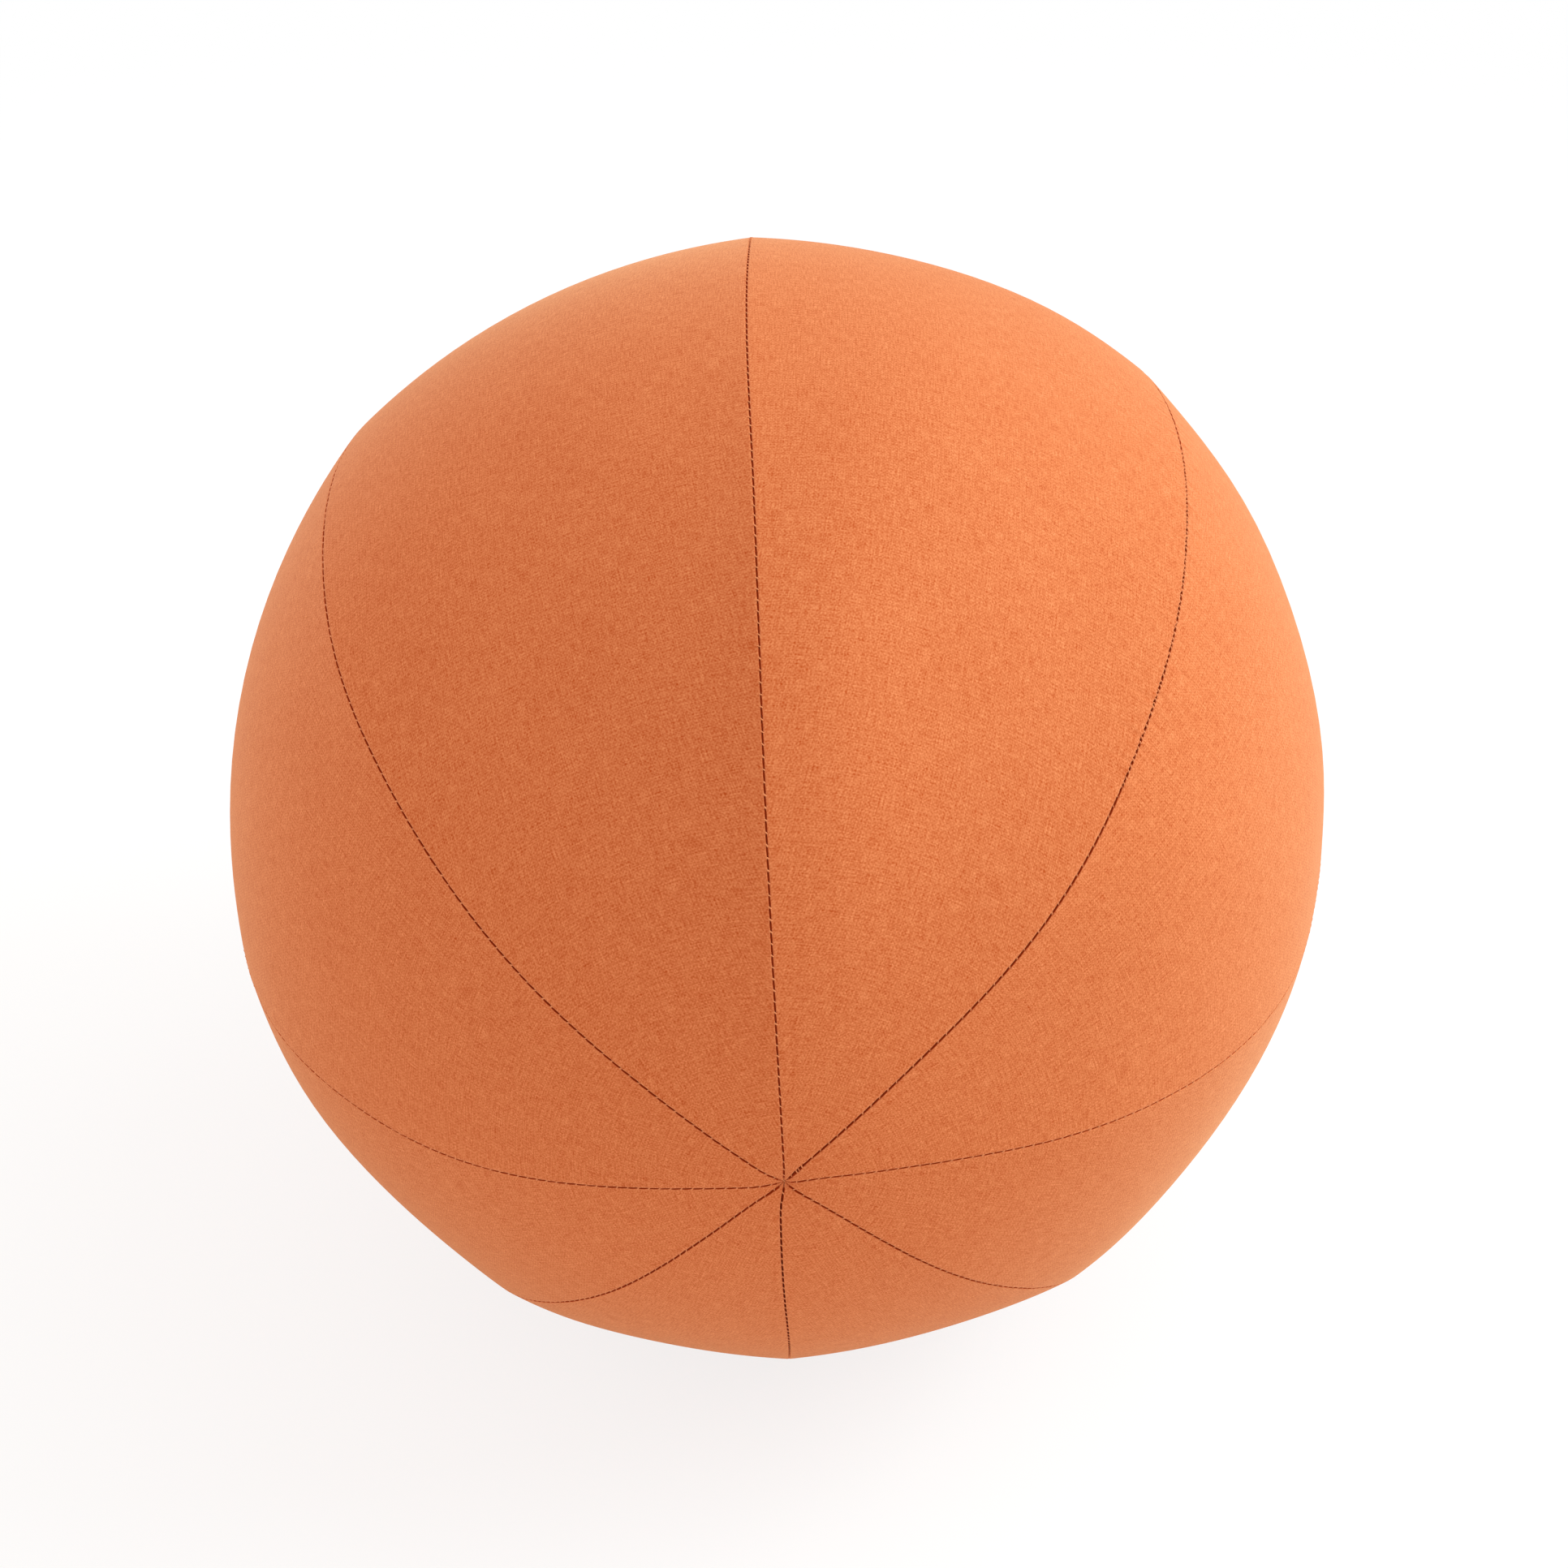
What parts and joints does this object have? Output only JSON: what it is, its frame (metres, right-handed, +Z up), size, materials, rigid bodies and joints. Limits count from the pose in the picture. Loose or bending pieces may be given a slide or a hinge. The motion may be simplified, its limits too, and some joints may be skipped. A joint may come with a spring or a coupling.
{
  "type": "medicine ball",
  "caption": "Soft cloth ball sewn from tapered gores that meet at its poles, with hand-sewn seams, lined fibre stuffing and a sand core, settled on a small flat foot.",
  "frame": {"origin": "on the floor under the centre of the ball, at the middle of the foot that its weight presses flat", "axes": "+Z up, +Y along the sewn axis from the front pole to the rear pole, +X to the right of someone who looks at the front pole"},
  "size_m": [0.3485, 0.3652, 0.344],
  "materials": {
    "cover_cloth": "plain-woven orange cotton",
    "sewing_thread": "pale twisted cotton",
    "liner_calico": "unbleached calico",
    "packed_fibre": "packed fibre",
    "bag_canvas": "close-woven canvas",
    "sand": "dry grains"
  },
  "bodies": {
    "root": {"gore_top_left": "cover_cloth", "gore_upper_left": "cover_cloth", "gore_lower_left": "cover_cloth", "gore_bottom_left": "cover_cloth", "gore_bottom_right": "cover_cloth", "gore_lower_right": "cover_cloth", "gore_upper_right": "cover_cloth", "gore_top_right": "cover_cloth", "seam_thread_top": "sewing_thread", "seam_thread_upper_left": "sewing_thread", "seam_thread_left": "sewing_thread", "seam_thread_lower_left": "sewing_thread", "seam_thread_bottom": "sewing_thread", "seam_thread_lower_right": "sewing_thread", "seam_thread_right": "sewing_thread", "seam_thread_upper_right": "sewing_thread", "closing_thread": "sewing_thread", "front_pole_knot": "sewing_thread", "rear_pole_knot": "sewing_thread", "liner_front": "liner_calico", "liner_rear": "liner_calico", "liner_thread": "sewing_thread", "stuffing_front": "packed_fibre", "stuffing_rear": "packed_fibre", "weight_bag_front": "bag_canvas", "weight_bag_rear": "bag_canvas", "weight_bag_thread": "sewing_thread", "sand_fill": "sand"}
  },
  "joints": []
}
